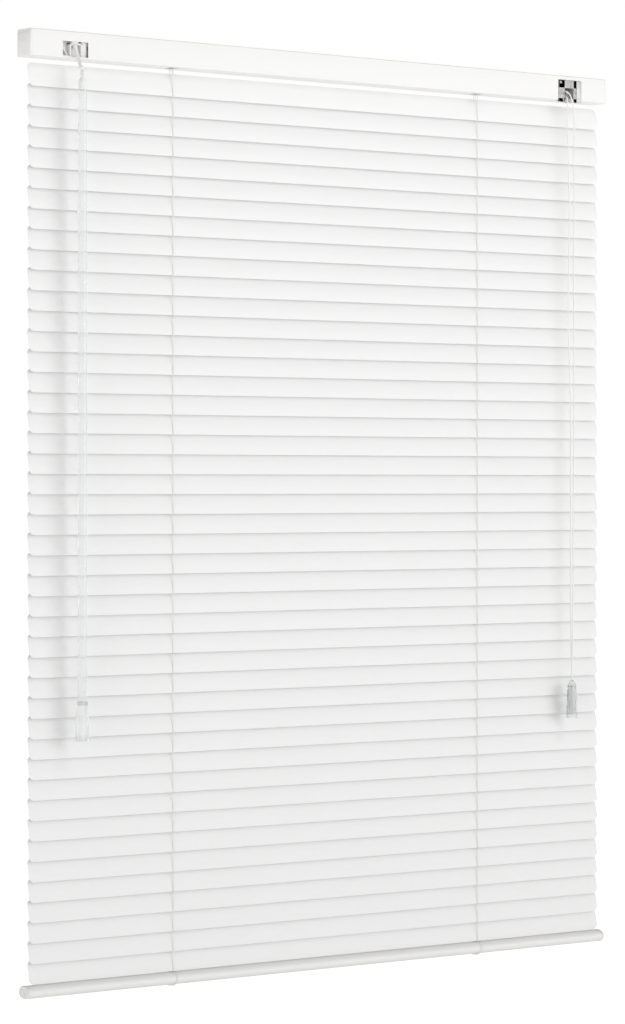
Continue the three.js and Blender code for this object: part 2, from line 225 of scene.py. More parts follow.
class Finish(Graph):
    """A material. surface() sets its shader: links for what varies, plain numbers for the rest."""

    def __init__(self, name):
        self.material = bpy.data.materials.new(name)
        self.material.use_nodes = True
        super().__init__(self.material.node_tree)
        self.tree.nodes.clear()
        self.place = self.node("ShaderNodeTexCoord", output="Object")

    def noise(self, scale, detail=2.0, stretch=(1, 1, 1), roughness=0.5):
        """Smooth noise from 0 to 1. scale is in lumps for each metre."""
        scaled = self.node("ShaderNodeMapping", None, {"Vector": self.place, "Scale": stretch})
        sockets = {"Vector": scaled, "Scale": scale, "Detail": detail, "Roughness": roughness}
        return self.node("ShaderNodeTexNoise", None, sockets)

    def blend(self, factor, first, second):
        """A colour between two, each four numbers."""
        return self.node("ShaderNodeMix", {"data_type": "RGBA"}, {0: factor, 6: first, 7: second}, 2)

    def bump(self, height, depth, strength=1.0):
        """A surface relief. depth is the height of a full step, in metres."""
        sockets = {"Height": height, "Distance": depth, "Strength": strength}
        return self.node("ShaderNodeBump", None, sockets)

    def surface(self, **sockets):
        """Ends the tree. A socket's name has _ for each space."""
        named = {name.replace("_", " "): value for name, value in sockets.items()}
        shader = self.node("ShaderNodeBsdfPrincipled", None, named)
        self.node("ShaderNodeOutputMaterial", None, {"Surface": shader})
        return self.material


def grey(level, warmth=0.0):
    """A near-neutral colour. warmth takes a little blue out."""
    return (level, level * (1 - 0.25 * warmth), level * (1 - warmth), 1.0)


# ---- finishes ----


def enamel(name, level, warmth, grain_along):
    """Baked enamel on rolled strip: faint cloudiness, rolling streaks along the strip, orange peel."""
    finish = Finish(name)
    clouds = finish.noise(9.0, 3.0)
    streaks = finish.noise(900.0, 2.0, stretch=grain_along)
    peel = finish.noise(1500.0, 2.0)
    colour = finish.blend(clouds, grey(level * 0.985, warmth), grey(level, warmth * 0.7))
    return finish.surface(
        Base_Color=colour,
        Roughness=0.33 + streaks * 0.1 + clouds * 0.05,
        Normal=finish.bump(peel * 0.6 + streaks * 0.4, 6e-6),
        Specular_IOR_Level=0.35,
    )


def moulded_white(name, level, warmth):
    """Moulded plastic with a fine matt grain and a slight sheen where it was touched."""
    finish = Finish(name)
    grain = finish.noise(2600.0, 3.0, roughness=0.6)
    flow = finish.noise(60.0, 2.0)
    return finish.surface(
        Base_Color=finish.blend(flow, grey(level * 0.97, warmth), grey(level, warmth)),
        Roughness=0.42 + grain * 0.16,
        Normal=finish.bump(grain, 2e-5, 0.6),
    )


def moulded_clear(name):
    """Clear moulded plastic: a little haze, and flow lines along its length."""
    finish = Finish(name)
    flow = finish.noise(420.0, 2.0, stretch=(1, 1, 0.05))
    haze = finish.noise(90.0, 3.0)
    return finish.surface(
        Base_Color=finish.blend(haze, (0.93, 0.95, 0.945, 1), (0.98, 0.99, 0.985, 1)),
        Roughness=0.05 + haze * 0.12,
        Normal=finish.bump(flow, 4e-5, 0.5),
        Transmission_Weight=0.82,
        IOR=1.49,
    )


def plated_steel(name):
    """Zinc-plated steel rod: drawn lines along it and dull patches."""
    finish = Finish(name)
    lines = finish.noise(2400.0, 2.0, stretch=(0.01, 1, 1))
    patches = finish.noise(45.0, 4.0)
    return finish.surface(
        Base_Color=finish.blend(patches, grey(0.50, 0.02), grey(0.66, 0.05)),
        Metallic=0.85 + patches * 0.15,
        Roughness=0.26 + patches * 0.18 + lines * 0.1,
        Normal=finish.bump(lines, 1e-5),
    )


def pressed_metal(name):
    """Grey pressed metal with a mottled, lightly tumbled face."""
    finish = Finish(name)
    mottle = finish.noise(330.0, 4.0, roughness=0.65)
    fine = finish.noise(1900.0, 3.0)
    steps = finish.node(
        "ShaderNodeValToRGB",
        {"stops": [(0.36, grey(0.26, 0.03)), (0.66, grey(0.60, 0.02))]},
        {"Fac": mottle * 0.75 + fine * 0.25},
    )
    return finish.surface(
        Base_Color=steps,
        Metallic=0.35,
        Roughness=0.36 + fine * 0.22,
        Normal=finish.bump(mottle * 0.7 + fine * 0.3, 9e-5, 0.7),
    )


def satin_metal(name):
    """The smoother sheet of the lock's side panel and roller."""
    finish = Finish(name)
    lines = finish.noise(1500.0, 2.0, stretch=(1, 1, 0.05))
    cloud = finish.noise(120.0, 3.0)
    return finish.surface(
        Base_Color=finish.blend(cloud, grey(0.50, 0.01), grey(0.60, 0.01)),
        Metallic=0.4,
        Roughness=0.34 + lines * 0.14,
        Normal=finish.bump(lines, 1.5e-5),
    )


def braided(name, level, strands, turns_a_metre):
    """Braided polyester: two sets of strands that cross, laid out by the cord's own map, with painted
    shade in the grooves between the strands.
    """
    finish = Finish(name)
    around = finish.node("ShaderNodeSeparateXYZ", None, {0: finish.node("ShaderNodeUVMap")})
    along = around.part(1)
    turn = 2 * math.pi
    one = (around * (strands * turn) + along * (turns_a_metre * turn)).call("SINE")
    other = (around * (strands * turn) - along * (turns_a_metre * turn)).call("SINE")
    weave = one.call("MAXIMUM", other) * 0.5 + 0.5
    fluff = finish.noise(4200.0, 2.0)
    # Painted shade: the colour goes darker down in the grooves between strands, following the weave's
    # relief; the fluff adds random tone.
    groove_shade, light = grey(level * 0.80, 0.03), grey(level, 0.015)
    return finish.surface(
        Base_Color=finish.blend(weave * 0.8 + fluff * 0.2, groove_shade, light),
        Roughness=0.72 + fluff * 0.2,
        Normal=finish.bump(weave, 1.2e-4, 0.8),
        Sheen_Weight=0.25,
    )


SLAT_ENAMEL = enamel("slat_enamel_finish", 0.80, 0.004, (0.02, 1, 1))
RAIL_ENAMEL = enamel("rail_enamel_finish", 0.79, 0.02, (0.02, 1, 1))
WHITE_PLASTIC = moulded_white("white_plastic_finish", 0.79, 0.02)
CORE_PLASTIC = moulded_white("tassel_core_finish", 0.84, 0.01)
CLEAR_PLASTIC = moulded_clear("clear_plastic_finish")
ROD_STEEL = plated_steel("rod_steel_finish")
LOCK_METAL = pressed_metal("lock_metal_finish")
PANEL_METAL = satin_metal("lock_panel_finish")
CORD_BRAID = braided("cord_finish", 0.88, 4, 420.0)
STRING_BRAID = braided("string_finish", 0.86, 3, 700.0)


# ---- making pieces ----


def loft(shape, rings, along=None, closed=False):
    """Adds a skin over rings of equally many points, capped unless closed brings it round to its start.

    along gives each ring's distance, for a cord's map.
    """
    rows = [[shape.verts.new(point) for point in ring] for ring in rings]
    around = len(rings[0])
    layer = shape.loops.layers.uv.verify() if along else None
    for row in range(len(rows) if closed else len(rows) - 1):
        here, after = rows[row], rows[(row + 1) % len(rows)]
        for start in range(around):
            end = (start + 1) % around
            face = shape.faces.new((here[start], here[end], after[end], after[start]))
            if along:
                places = ((start, row), (start + 1, row), (start + 1, row + 1), (start, row + 1))
                for loop, (turned, step) in zip(face.loops, places):
                    loop[layer].uv = (turned / around, along[step] * MM)
    if not closed:
        shape.faces.new(rows[0][::-1])
        shape.faces.new(rows[-1])


def circle(centre, axis, radius, sides, wave=0.0, waves=0, phase=0.0):
    """Points round an axis. wave and waves give it flutes."""
    turn = Vector(axis).to_track_quat("Z", "Y")
    points = []
    for side in range(sides):
        angle = 2 * math.pi * side / sides
        reach = radius + wave * math.cos(waves * angle + phase)
        spoke = Vector((reach * math.cos(angle), reach * math.sin(angle), 0))
        points.append(Vector(centre) + turn @ spoke)
    return points


def tube(shape, path, radius, sides=10):
    """Adds a round cord along a path, with its along-and-around map."""
    points = [Vector(point) for point in path]
    travelled = [0.0]
    for before, after in zip(points, points[1:]):
        travelled.append(travelled[-1] + (after - before).length)
    rings = []
    heading = (points[1] - points[0]).normalized()
    side = heading.orthogonal().normalized()
    for index, point in enumerate(points):
        ahead = points[min(index + 1, len(points) - 1)] - points[max(index - 1, 0)]
        ahead.normalize()
        side = (heading.rotation_difference(ahead) @ side).normalized()
        heading = ahead
        other = heading.cross(side)
        rings.append([
            point + radius * (side * math.cos(angle) + other * math.sin(angle))
            for angle in (2 * math.pi * k / sides for k in range(sides))
        ])
    loft(shape, rings, along=travelled)


def turned(shape, profile, centre, sides=32, wave=0.0, waves=0, phase=0.0):
    """Adds a shape turned about a vertical axis; the profile lists (radius, height)."""
    rings = [
        circle((centre[0], centre[1], height), (0, 0, 1), radius, sides, wave, waves, phase)
        for radius, height in profile
    ]
    loft(shape, rings)


def block(shape, low, high, bevel=0.3, segments=2):
    """Adds a box with softened edges."""
    made = bmesh.ops.create_cube(shape, size=1.0)["verts"]
    for vert in made:
        vert.co = [lo + (co + 0.5) * (hi - lo) for lo, hi, co in zip(low, high, vert.co)]
    edges = list(dict.fromkeys(edge for vert in made for edge in vert.link_edges))
    bmesh.ops.bevel(shape, geom=edges, offset=bevel, segments=segments, affect="EDGES", profile=0.5)


def blocks(shape, boxes, bevel=0.3, segments=2):
    """Adds a softened box for each (x0, x1, y0, y1, z0, z1)."""
    for x0, x1, y0, y1, z0, z1 in boxes:
        block(shape, (x0, y0, z0), (x1, y1, z1), bevel, segments)


def bar_along_x(shape, outline, stations):
    """Adds a bar with the same (y, z) outline at each x."""
    loft(shape, [[(x, y, z) for y, z in outline] for x in stations])


def ring_bar(shape, centre, axis, radius, thickness, steps=28, sides=8):
    """Adds a closed ring of round bar."""
    middle = circle(centre, axis, radius, steps)
    rings = []
    for index, point in enumerate(middle):
        tangent = middle[(index + 1) % steps] - middle[index - 1]
        spoke = (point - Vector(centre)).normalized()
        up = tangent.normalized().cross(spoke)
        rings.append([
            point + thickness * (spoke * math.cos(angle) + up * math.sin(angle))
            for angle in (2 * math.pi * k / sides for k in range(sides))
        ])
    loft(shape, rings, closed=True)


def rounded_corners(points, radii, steps=5):
    """A bent line: each inner corner of a line with square turns becomes an arc."""
    line = [Vector(points[0])]
    for before, corner, after, radius in zip(points, points[1:], points[2:], radii):
        arrive = (Vector(corner) - Vector(before)).normalized()
        leave = (Vector(after) - Vector(corner)).normalized()
        centre = Vector(corner) - arrive * radius + leave * radius
        for step in range(steps + 1):
            angle = math.pi / 2 * step / steps
            line.append(centre + radius * (arrive * math.sin(angle) - leave * math.cos(angle)))
    return line + [Vector(points[-1])]


def sheet_outline(line, wall):
    """The closed outline of a sheet of even thickness along a bent line."""
    left, right = [], []
    for index, point in enumerate(line):
        way = (line[min(index + 1, len(line) - 1)] - line[max(index - 1, 0)]).normalized()
        across = Vector((-way.y, way.x)) * wall / 2
        left.append(tuple(point + across))
        right.append(tuple(point - across))
    return left + right[::-1]


def smooth_route(points, steps):
    """Points along a smooth curve that passes through the given ones."""
    given = [Vector(point) for point in points]
    given = [2 * given[0] - given[1], *given, 2 * given[-1] - given[-2]]
    route = []
    for before, start, end, after in zip(given, given[1:], given[2:], given[3:]):
        gaps = [math.sqrt((b - a).length) for a, b in ((before, start), (start, end), (end, after))]
        first, own, last = gaps
        pace = (end - start) / own
        leave = (start - before) / first - (end - before) / (first + own) + pace
        arrive = pace - (after - start) / (own + last) + (after - end) / last
        leave, arrive = leave * own, arrive * own
        for step in range(steps):
            t = step / steps
            route.append(
                start + leave * t + (3 * (end - start) - 2 * leave - arrive) * t**2
                + (2 * (start - end) + leave + arrive) * t**3
            )
    return route + [given[-2]]


def straight(start, end, steps):
    """Evenly spaced points from start to end."""
    return [Vector(start).lerp(Vector(end), step / steps) for step in range(steps + 1)]


def mesh_of(shape, name):
    """The bmesh as a mesh in metres, with its faces outwards."""
    bmesh.ops.recalc_face_normals(shape, faces=shape.faces)
    bmesh.ops.scale(shape, vec=(MM, MM, MM), verts=shape.verts)
    mesh = bpy.data.meshes.new(name)
    shape.to_mesh(mesh)
    shape.free()
    return mesh


def object_of(name, mesh):
    """A new object in the scene that holds this mesh, camera or light."""
    made = bpy.data.objects.new(name, mesh)
    bpy.context.scene.collection.objects.link(made)
    return made


def evaluated_mesh(made):
    """The mesh that an object's modifiers give. The object itself is removed."""
    view = bpy.context.evaluated_depsgraph_get()
    mesh = bpy.data.meshes.new_from_object(made.evaluated_get(view))
    bpy.data.objects.remove(made)
    return mesh


def carved(shape, tool):
    """The mesh of one solid with another cut out of it."""
    body = object_of("body_to_carve", mesh_of(shape, "body_to_carve"))
    knife = object_of("carving_tool", mesh_of(tool, "carving_tool"))
    cut = body.modifiers.new("cut", "BOOLEAN")
    cut.operation, cut.solver, cut.object = "DIFFERENCE", "EXACT", knife
    mesh = evaluated_mesh(body)
    bpy.data.objects.remove(knife)
    return mesh


def piece(name, source, material, body=None, stands_for=(), crease=38):
    """A finished piece: shaded smooth up to its creases, with its material, on its body."""
    mesh = source if isinstance(source, bpy.types.Mesh) else mesh_of(source, name)
    mesh.name = name
    mesh.shade_smooth()
    mesh.set_sharp_from_angle(angle=math.radians(crease))
    mesh.materials.clear()
    mesh.materials.append(material)
    made = object_of(name, mesh)
    if body:
        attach(made, body)
    if stands_for:
        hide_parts(*stands_for)
    return made


# ---- camera ----

CAMERA_TURN = math.radians(37.91)
CAMERA_PLACE = (-2.5181, -3.2174, -0.4563)
CAMERA_LENS = 130.56
CAMERA_RISE = -27.3 / 1024

camera_data = bpy.data.cameras.new("camera")
camera_data.lens = CAMERA_LENS
camera_data.sensor_width = 36
camera_data.shift_y = CAMERA_RISE
camera_data.clip_end = 100
camera = object_of("camera", camera_data)
camera.location = CAMERA_PLACE
camera.rotation_euler = (math.pi / 2, 0, -CAMERA_TURN)
bpy.context.scene.camera = camera


# ---- tassel and pull cords ----

tassel_low, tassel_high = TASSEL
TASSEL_CENTRE = ((tassel_low.x + tassel_high.x) / 2, (tassel_low.y + tassel_high.y) / 2)
TASSEL_RADIUS = (tassel_high.x - tassel_low.x) / 2


def tassel_bell():
    """The clear bell, open below, with shallow flutes."""
    top, bottom = tassel_high.z, tassel_low.z
    outer = [
        (1.9, top), (2.5, top - 1.0), (3.6, top - 3.4), (4.9, top - 6.4), (5.3, top - 9),
        (5.7, top - 20), (6.0, top - 30), (TASSEL_RADIUS, bottom + 1.2), (TASSEL_RADIUS - 0.2, bottom),
    ]
    inner = [(radius - 0.9, height + 0.1) for radius, height in outer[3:]][::-1]
    shape = bmesh.new()
    turned(shape, outer + inner + [(2.2, top - 5.4)], TASSEL_CENTRE, 48, 0.16, 12)
    return piece("tassel_bell", shape, CLEAR_PLASTIC, "cord_tassel", ["cord_tassel"])


def tassel_core():
    """The white plug inside the bell that the knots sit in."""
    top, bottom = tassel_high.z, tassel_low.z
    shape = bmesh.new()
    profile = [
        (1.2, top - 5.6), (2.6, top - 7), (3.5, top - 10), (4.0, top - 24),
        (4.4, bottom + 5), (4.1, bottom + 4),
    ]
    turned(shape, profile, TASSEL_CENTRE, 36, 0.12, 9)
    return piece("tassel_core", shape, CORE_PLASTIC, "cord_tassel")


bell, core = tassel_bell(), tassel_core()


def pull_cord(name, route, stands_for):
    """A cord that leaves the lock at the route's second point and ends in the tassel's knot."""
    path = smooth_route(route, CORD_STEPS)
    shape = bmesh.new()
    tube(shape, path, CORD_THICKNESS / 2, 12)
    cord = piece(name, shape, CORD_BRAID, stands_for=stands_for)
    points = [point * MM for point in path]
    length = sum((after - before).length for before, after in zip(points, points[1:]))
    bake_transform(cord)
    return cord


pull_cord("pull_cord_upper", UPPER_CORD, ["pull_cords"])
pull_cord("pull_cord_lower", LOWER_CORD, ["pull_cords"])


# ---- slats and ladders ----


class Recipe(Graph):
    """A Geometry Nodes tree with named inputs. made() gives its mesh for one set of sizes."""

    def __init__(self, name, inputs, material):
        tree = bpy.data.node_groups.new(name, "GeometryNodeTree")
        super().__init__(tree)
        self.material = material
        self.named = {
            label: tree.interface.new_socket(label, in_out="INPUT", socket_type="NodeSocketFloat")
            for label in inputs
        }
        tree.interface.new_socket("Geometry", in_out="OUTPUT", socket_type="NodeSocketGeometry")
        source = self.node("NodeGroupInput")
        self.inputs = {label: source.part(label) for label in inputs}

    def position(self):
        """The x, y and z of each point."""
        place = self.node("ShaderNodeSeparateXYZ", None, {0: self.node("GeometryNodeInputPosition")})
        return place, place.part(1), place.part(2)

    def vector(self, x, y, z):
        """Three values as one."""
        return self.node("ShaderNodeCombineXYZ", None, {0: x, 1: y, 2: z})

    def moved(self, geometry, x, y, z):
        """The geometry with each point at a new place."""
        sockets = {"Geometry": geometry, "Position": self.vector(x, y, z)}
        return self.node("GeometryNodeSetPosition", None, sockets)

    def close(self, geometry):
        """Ends the tree."""
        real = self.node("GeometryNodeRealizeInstances", None, {"Geometry": geometry})
        sockets = {"Geometry": real, "Material": self.material}
        dressed = self.node("GeometryNodeSetMaterial", None, sockets)
        self.node("NodeGroupOutput", None, {0: dressed})

    def made(self, **values):
        """The recipe's plain mesh for these inputs."""
        holder = object_of("recipe_holder", bpy.data.meshes.new("recipe_holder"))
        modifier = holder.modifiers.new("recipe", "NODES")
        modifier.node_group = self.tree
        for label, value in values.items():
            modifier[self.named[label].identifier] = float(value)
        return evaluated_mesh(holder)


def slat_recipe():
    """A crowned strip with round corners, tilted and set at its height."""
    recipe = Recipe(
        "slat", ["Length", "Width", "Crown", "Thickness", "Corner", "Tilt", "Across", "Height", "Bow"],
        SLAT_ENAMEL,
    )
    size = recipe.inputs
    sockets = {"Size X": 2.0, "Size Y": 2.0, "Vertices X": 41, "Vertices Y": 25}
    grid = recipe.node("GeometryNodeMeshGrid", None, sockets)
    along, across, _ = recipe.position()
    half = size["Width"] / 2
    reach = (across * (math.pi / 2)).call("SINE") * half
    past = (reach.call("ABSOLUTE") - (half - size["Corner"])).call("MAXIMUM", 0.0)
    round_end = (size["Corner"] * size["Corner"] - past * past).call("MAXIMUM", 0.0).call("SQRT")
    half_length = size["Length"] / 2 - size["Corner"] + round_end
    share = reach / half
    height = size["Crown"] * (1 - share * share) - size["Thickness"] / 2
    strip = recipe.moved(grid, along * half_length, reach, height)
    walls = recipe.node(
        "GeometryNodeExtrudeMesh", {"mode": "FACES"},
        {"Mesh": strip, "Offset Scale": size["Thickness"], "Individual": False},
    )
    under = recipe.node("GeometryNodeFlipFaces", None, {"Mesh": strip})
    both = recipe.node("GeometryNodeJoinGeometry", None, {0: [under, walls]})
    closed = recipe.node("GeometryNodeMergeByDistance", None, {"Geometry": both, "Distance": 1e-5})
    x, y, z = recipe.position()
    cosine, sine = size["Tilt"].call("COSINE"), size["Tilt"].call("SINE")
    sag = size["Bow"] * (x * (8 * math.pi)).call("COSINE")
    tilted = recipe.moved(
        closed, x, y * cosine - z * sine + size["Across"], y * sine + z * cosine + size["Height"] + sag
    )
    recipe.close(tilted)
    return recipe


def rung_recipe():
    """The two cross strings under a slat, one in each ladder."""
    recipe = Recipe(
        "rungs", ["Spacing", "Reach", "Thickness", "Behind", "Tilt", "Across", "Height"], STRING_BRAID
    )
    size = recipe.inputs
    cosine, sine = size["Tilt"].call("COSINE"), size["Tilt"].call("SINE")
    away_y, away_z = size["Behind"] * sine, size["Behind"] * cosine
    reach_y, reach_z = size["Reach"] * cosine, size["Reach"] * sine
    line = recipe.node("GeometryNodeCurvePrimitiveLine", None, {
        "Start": recipe.vector(0.0, reach_y + away_y, reach_z - away_z),
        "End": recipe.vector(0.0, away_y - reach_y, 0.0 - reach_z - away_z),
    })
    fine = recipe.node("GeometryNodeResampleCurve", None, {"Curve": line, "Count": 7})
    sockets = {"Resolution": 8, "Radius": size["Thickness"] / 2}
    ring = recipe.node("GeometryNodeCurvePrimitiveCircle", None, sockets)
    sockets = {"Curve": fine, "Profile Curve": ring, "Fill Caps": True}
    bar = recipe.node("GeometryNodeCurveToMesh", None, sockets)
    ladders = recipe.node("GeometryNodeMeshLine", None, {
        "Count": 2,
        "Start Location": recipe.vector(size["Spacing"] / -2, size["Across"], size["Height"]),
        "Offset": recipe.vector(size["Spacing"], 0.0, 0.0),
    })
    pair = recipe.node("GeometryNodeInstanceOnPoints", None, {"Points": ladders, "Instance": bar})
    recipe.close(pair)
    return recipe


# The share of its height that the stack under the rail keeps when the blind is drawn right up.
STACK_TOP = RAIL_FLOOR - 0.6
LOWEST_IN_STACK = box_mm(SLATS[-2])[0].z
LAST_SLAT_RAISED = box_mm(LAST_SLAT)[1].z + LIFT
STACK_KEEP = (STACK_TOP - LAST_SLAT_RAISED) / (STACK_TOP - LOWEST_IN_STACK)


def gathers(made):
    """Gives the piece its own copy of its mesh."""
    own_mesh(made)


SLAT_RECIPE, RUNG_RECIPE = slat_recipe(), rung_recipe()
WOBBLE = random.Random(45)
SLAT_BOW = 0.06
TILT_SPREAD = math.radians(0.35)

for node in SLATS:
    height = pivot_mm(f"{node}_tilt").z
    number = node.split("_")[1]
    tilt = SLAT_TILT + WOBBLE.uniform(-TILT_SPREAD, TILT_SPREAD)
    blade = SLAT_RECIPE.made(
        Length=2 * SLAT_END * MM, Width=SLAT_WIDTH * MM, Crown=SLAT_CROWN * MM,
        Thickness=SLAT_THICKNESS * MM, Corner=SLAT_CORNER * MM, Tilt=tilt, Across=MID * MM,
        Height=height * MM, Bow=WOBBLE.uniform(0, SLAT_BOW) * MM,
    )
    rungs = RUNG_RECIPE.made(
        Spacing=2 * LADDER_X * MM, Reach=STRING_REACH * MM, Thickness=RUNG_THICKNESS * MM,
        Behind=(SLAT_THICKNESS / 2 + RUNG_THICKNESS) * MM, Tilt=SLAT_TILT, Across=MID * MM,
        Height=height * MM,
    )
    for made in (
        piece(f"blade_{number}", blade, SLAT_ENAMEL, node, [node]),
        piece(f"rungs_{number}", rungs, STRING_BRAID, node, crease=60),
    ):
        if node != LAST_SLAT:
            gathers(made)

FRONT_LOW = LAST_SLAT_Z - SLAT_DROP_TO_STRING
BACK_HIGH = FIRST_SLAT_Z + SLAT_DROP_TO_STRING
BACK_LOW = LAST_SLAT_Z + SLAT_DROP_TO_STRING
LIFT_CORD_SIDE = 3.0
STRING_TURN_IN = 0.5


def string_piece(name, paths, body=None, stands_for=()):
    """One piece of string or several that go together."""
    shape = bmesh.new()
    for path in paths:
        tube(shape, path, STRING_THICKNESS / 2, 8)
    return piece(name, shape, STRING_BRAID, body, stands_for, crease=60)


def base_surface(angle, gap):
    """A point just off the bottom rail's oval; the angle starts at its top and goes towards the room."""
    return (
        MID - (BASE_HALF_DEPTH + gap) * math.sin(angle),
        BASE_MID_Z + (BASE_HALF_HEIGHT + gap) * math.cos(angle),
    )


def round_base(x, first, last, steps):
    """A string's path over the bottom rail's surface, between two angles in degrees."""
    angles = (math.radians(first + (last - first) * step / steps) for step in range(steps + 1))
    return [(x, *base_surface(angle, STRING_THICKNESS / 2)) for angle in angles]


def straight_strings(side, x, lift_x):
    """The ladder's two strings and the lift cord beside them, from the first slat to the last."""
    front = straight((x, FRONT_STRING.y, FRONT_STRING.z), (x, FRONT_STRING.y, FRONT_LOW), 90)
    back, lift = (
        straight((at, BACK_STRING.y, BACK_HIGH), (at, BACK_STRING.y, BACK_LOW), 90) for at in (x, lift_x)
    )
    for name, path, body, nodes in (
        ("ladder_front", front, "front_strings", [f"ladder_{side}_front"]),
        ("ladder_back", back, "back_strings", [f"ladder_{side}_back"]),
        ("lift_cord", lift, "back_strings", []),
    ):
        gathers(string_piece(f"{name}_{side}", [path], body, nodes))


def string_tops(side, x, lift_x):
    """The strings between the rail and the first slat."""
    front_y, back_y = FRONT_STRING.y, BACK_STRING.y
    rail_end = RAIL_FLOOR + STRING_TURN_IN
    front = string_piece(
        f"ladder_front_top_{side}",
        [straight((x, front_y, FRONT_STRING.z), (x, front_y, rail_end), 12)],
        "front_strings",
    )
    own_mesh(front)
    back = string_piece(
        f"ladder_back_top_{side}",
        [straight((at, back_y, BACK_HIGH), (at, back_y, rail_end), 14) for at in (x, lift_x)],
    )
    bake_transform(back)


def string_tails(side, x, lift_x):
    """The strings below the last slat: round the bottom rail, and the lift cord into its top."""
    back_y = BACK_STRING.y
    touch = math.degrees(math.asin((MID - FRONT_STRING.y) / BASE_HALF_DEPTH))
    front = string_piece(f"ladder_front_tail_{side}", [round_base(x, touch, 168, 46)])
    tail_top = base_surface(math.radians(touch), STRING_THICKNESS / 2)[1]
    (tail_top - 1.6) * MM
    tail_top * MM
    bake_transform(front)
    landing = -math.degrees(math.asin((back_y - MID) / BASE_HALF_DEPTH))
    over_back = round_base(x, landing, -168, 30)
    into_base = [(lift_x, MID + 1.5, base_high.z - 0.3), (lift_x, MID + 1, BASE_MID_Z)]
    back = string_piece(
        f"ladder_back_tail_{side}",
        [
            straight((x, back_y, BACK_LOW), over_back[0], 16) + over_back[1:],
            straight((lift_x, back_y, BACK_LOW), into_base[0], 16) + into_base[1:],
        ],
    )
    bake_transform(back)


for side, ladder_x in (("left", -LADDER_X), ("right", LADDER_X)):
    for strings in (straight_strings, string_tops, string_tails):
        strings(side, ladder_x, ladder_x + LIFT_CORD_SIDE)


# ---- head rail ----


def rail_channel():
    """The roll-formed channel, with its window, its notch for the lock and its holes for the ladders."""
    half = RAIL_WALL / 2
    bends = [
        (-RAIL_LIP, RAIL_TOP - half), (-half, RAIL_TOP - half), (-half, RAIL_FLOOR + half),
        (FRONT + half, RAIL_FLOOR + half), (FRONT + half, RAIL_TOP - half),
        (FRONT + RAIL_LIP, RAIL_TOP - half),
    ]
    outline = sheet_outline(rounded_corners(bends, [0.9, 1.1, 1.1, 0.9]), RAIL_WALL)
    shape = bmesh.new()
    bar_along_x(shape, outline, [-RAIL_END + RAIL_END * step / 12 for step in range(25)])
    tool = bmesh.new()
    blocks(tool, [(WINDOW_LEFT, WINDOW_RIGHT, FRONT - 2, FRONT + 2.5, WINDOW_FOOT, WINDOW_HEAD)], 0.7, 3)
    notch = (LOCK_LOW.x - 0.3, LOCK_HIGH.x + 0.3, FRONT - 3, FRONT + 6, RAIL_FLOOR - 4, LOCK_HIGH.z + 0.3)
    blocks(tool, [notch], 0.5)
    for x in (-LADDER_X, LADDER_X):
        blocks(tool, [(x - 5, x + 5, MID - 7, MID + 7, RAIL_FLOOR - 2, RAIL_FLOOR + 3)], 0.8, 3)
    channel = carved(shape, tool)
    return piece("rail_channel", channel, RAIL_ENAMEL, "head_rail", ["head_rail"], 30)


def rail_cap(side, name):
    """A moulded end cap: a plug, a plate with a rebate along its top, and two ribs near its foot."""
    node = f"head_rail_cap_{name}"
    shape = bmesh.new()

    def slab(inner, outer, y0, y1, z0, z1, bevel=0.4):
        low, high = sorted((side * inner, side * outer))
        block(shape, (low, y0, z0), (high, y1, z1), bevel)

    slab(RAIL_END - 5.7, RAIL_END + 1, FRONT + 1.2, -1.2, RAIL_FLOOR + 1.2, RAIL_TOP - 1.2, 0.3)
    slab(RAIL_END - 0.1, BLIND_END - 0.9, FRONT, 0, RAIL_FLOOR, RAIL_TOP, 0.45)
    slab(BLIND_END - 1.6, BLIND_END - 0.15, FRONT + 0.5, -0.5, RAIL_FLOOR + 0.5, RAIL_TOP - 3.6, 0.5)
    for height in (2.6, 5.2):
        foot = RAIL_FLOOR + height
        slab(BLIND_END - 0.8, BLIND_END, FRONT + 2.4, -8, foot, foot + 0.8, 0.2)
    slab(BLIND_END - 0.8, BLIND_END, FRONT + 9, -9, RAIL_FLOOR + 12, RAIL_FLOOR + 17.5, 0.3)
    return piece(f"rail_cap_{name}", shape, WHITE_PLASTIC, "head_rail", [node])


rail_channel()
rail_cap(-1, "left")
rail_cap(1, "right")


# ---- tilting gear ----

STEM_WAY = (HOOK - STEM_EXIT).normalized()
STEM_REACH = (HOOK - STEM_EXIT).length
RIBS, RIB_ACROSS, RIB_DROP = 7, 1.15, 1.75
SEAT = 3.3
GRIP_LENGTH = 41
WORM_START, WORM_END, WORM_PITCH, WORM_STEPS = -14.0, -5.0, 3.4, 60


def along_stem(distance):
    """A point on the worm's axis, so far past the place where it leaves the rail."""
    return STEM_EXIT + STEM_WAY * distance


